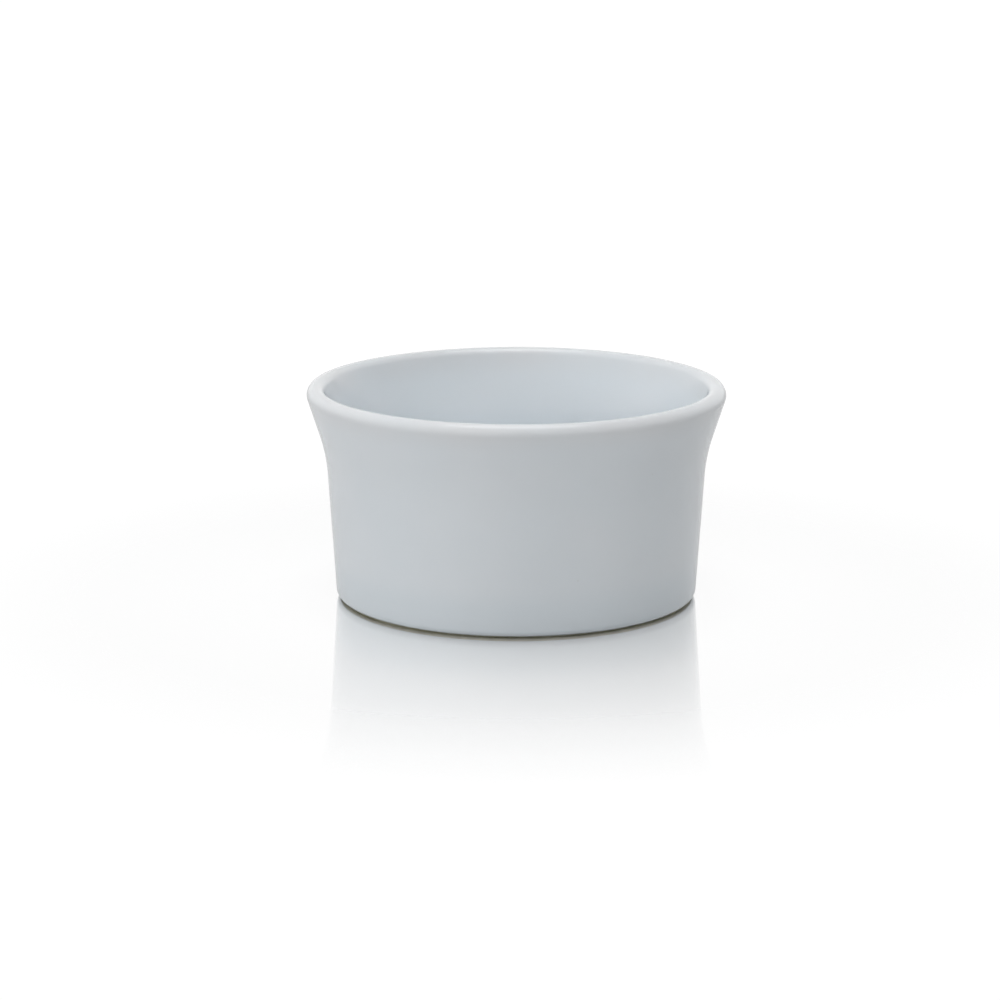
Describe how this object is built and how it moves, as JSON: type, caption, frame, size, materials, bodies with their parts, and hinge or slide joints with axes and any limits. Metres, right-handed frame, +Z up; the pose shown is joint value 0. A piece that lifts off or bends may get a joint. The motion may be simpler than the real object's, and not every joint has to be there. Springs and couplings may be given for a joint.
{
  "type": "ramekin",
  "caption": "Small round glazed porcelain baking dish with a drafted wall, a rim flared outwards to a full round lip, and a bare foot ring round a recessed underside.",
  "frame": {"origin": "centre of the foot ring's resting plane", "axes": "+Z up along the dish's axis of revolution, out of its mouth"},
  "size_m": [0.09, 0.09, 0.0464],
  "materials": {
    "bisque": "bare fired porcelain, ground flat on the foot ring",
    "glaze": "clear gloss glaze over white porcelain",
    "base_glaze": "the same gloss glaze, thinner, in the recess of the underside"
  },
  "bodies": {
    "root": {"porcelain_body": "bisque", "glaze_coat": "glaze", "base_glaze": "base_glaze"}
  },
  "joints": []
}
